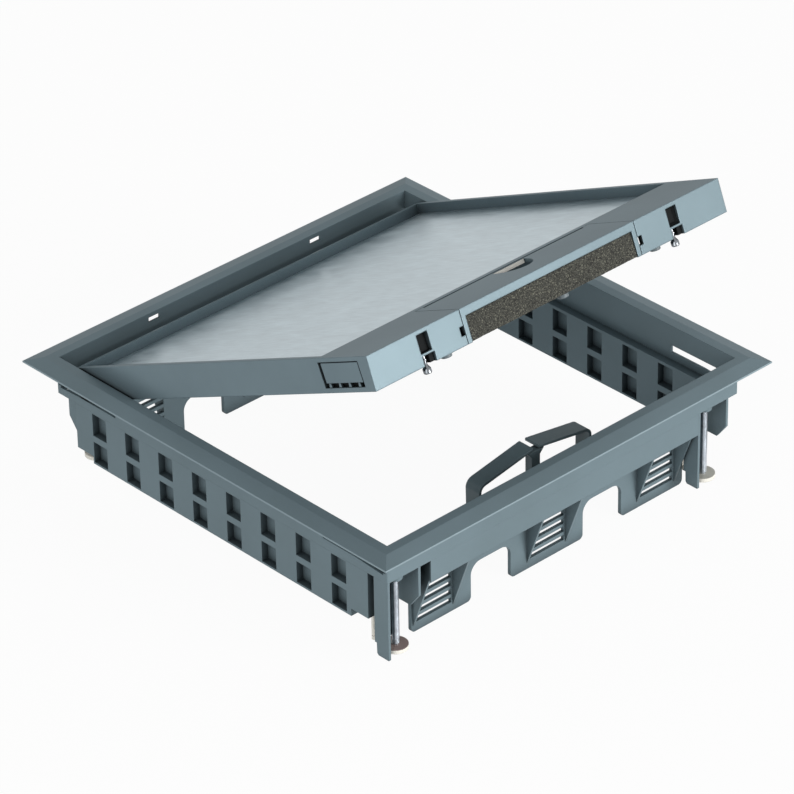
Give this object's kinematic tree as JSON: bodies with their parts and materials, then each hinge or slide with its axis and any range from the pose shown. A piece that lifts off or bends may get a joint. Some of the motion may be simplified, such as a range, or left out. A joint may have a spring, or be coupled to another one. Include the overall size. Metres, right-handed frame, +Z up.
{
  "type": "floor service outlet",
  "caption": "Square drop-in floor service outlet with a raised hinged lid, foam-sealed cord flap, corrugated side walls, louvred cable arches and levelling feet.",
  "frame": {"origin": "centre of the frame's plan, at the bottom of the hanging wall blocks", "axes": "+Z up out of the floor, -Y towards the cord outlet edge, +Y towards the hinge, +X to the right seen from the cord outlet"},
  "size_m": [0.264, 0.264, 0.1673],
  "materials": {
    "frame_plastic": "satin",
    "lid_plastic": "satin",
    "insert_plate": "brushed",
    "foam": "matte",
    "arm_plastic": "satin",
    "zinc": "satin",
    "chrome": "polished",
    "black_plastic": "matte",
    "grey_bumper": "matte",
    "pad_plastic": "satin"
  },
  "bodies": {
    "frame": {"rim": "frame_plastic", "side_wall_left": "frame_plastic", "side_wall_right": "frame_plastic", "front_wall": "frame_plastic", "back_wall": "frame_plastic", "retainer_post": "arm_plastic", "arm_pivot_left": "frame_plastic", "arm_pivot_right": "frame_plastic", "bracket_front_left": "frame_plastic", "bracket_front_right": "frame_plastic", "bracket_rear_left": "frame_plastic", "bracket_rear_right": "frame_plastic"},
    "carriage": {"hinge_shoe_left": "black_plastic", "hinge_shoe_right": "black_plastic"},
    "lid": {"lid_tray": "lid_plastic", "deck_ribs": "lid_plastic", "lid_plate": "insert_plate", "side_insert_left": "lid_plastic", "side_insert_right": "lid_plastic", "hinge_pin_left": "zinc", "hinge_pin_right": "zinc", "catch_stud_left": "chrome", "catch_stud_right": "chrome", "catch_clip_left": "black_plastic", "catch_clip_right": "black_plastic", "bumper_left": "grey_bumper", "bumper_right": "grey_bumper"},
    "outlet": {"outlet_flap": "lid_plastic", "grip_edge": "pad_plastic", "foam_strip": "foam", "bumper_middle": "grey_bumper"},
    "arm_left": {"retainer_arm_left": "arm_plastic"},
    "arm_right": {"retainer_arm_right": "arm_plastic"},
    "foot_front_left": {"screw_front_left": "zinc", "foot_pad_front_left": "pad_plastic"},
    "foot_front_right": {"screw_front_right": "zinc", "foot_pad_front_right": "pad_plastic"},
    "foot_rear_left": {"screw_rear_left": "zinc", "foot_pad_rear_left": "pad_plastic"},
    "foot_rear_right": {"screw_rear_right": "zinc", "foot_pad_rear_right": "pad_plastic"}
  },
  "joints": [
    {"name": "lid_slide", "type": "slide", "parent": "frame", "child": "carriage", "axis": [0, -1, 0], "range_m": [-0.01628, 0.0212]},
    {"name": "lid_hinge", "type": "hinge", "parent": "carriage", "child": "lid", "pos_m": [0, 0.10007, 0.0561], "axis": [-1, 0, 0], "range_deg": [-25.08, 32.5]},
    {"name": "outlet_lift", "type": "slide", "parent": "lid", "child": "outlet", "axis": [0, 0.4239, 0.9057], "range_m": [0, 0.01]},
    {"name": "arm_left_swing", "type": "hinge", "parent": "frame", "child": "arm_left", "pos_m": [-0.0375, -0.0937, 0.0335], "axis": [0, -1, 0], "range_deg": [0, 90]},
    {"name": "arm_right_swing", "type": "hinge", "parent": "frame", "child": "arm_right", "pos_m": [0.0375, -0.0937, 0.0335], "axis": [0, 1, 0], "range_deg": [0, 90]},
    {"name": "foot_front_left_adjust", "type": "slide", "parent": "frame", "child": "foot_front_left", "axis": [0, 0, 1], "range_m": [-0.025, 0.0025]},
    {"name": "foot_front_right_adjust", "type": "slide", "parent": "frame", "child": "foot_front_right", "axis": [0, 0, 1], "range_m": [-0.025, 0.0025]},
    {"name": "foot_rear_left_adjust", "type": "slide", "parent": "frame", "child": "foot_rear_left", "axis": [0, 0, 1], "range_m": [-0.025, 0.0025]},
    {"name": "foot_rear_right_adjust", "type": "slide", "parent": "frame", "child": "foot_rear_right", "axis": [0, 0, 1], "range_m": [-0.025, 0.0025]}
  ],
  "couplings": [
    {"joint": "lid_slide", "follows": "lid_hinge", "m_per_rad": 0.037192}
  ]
}
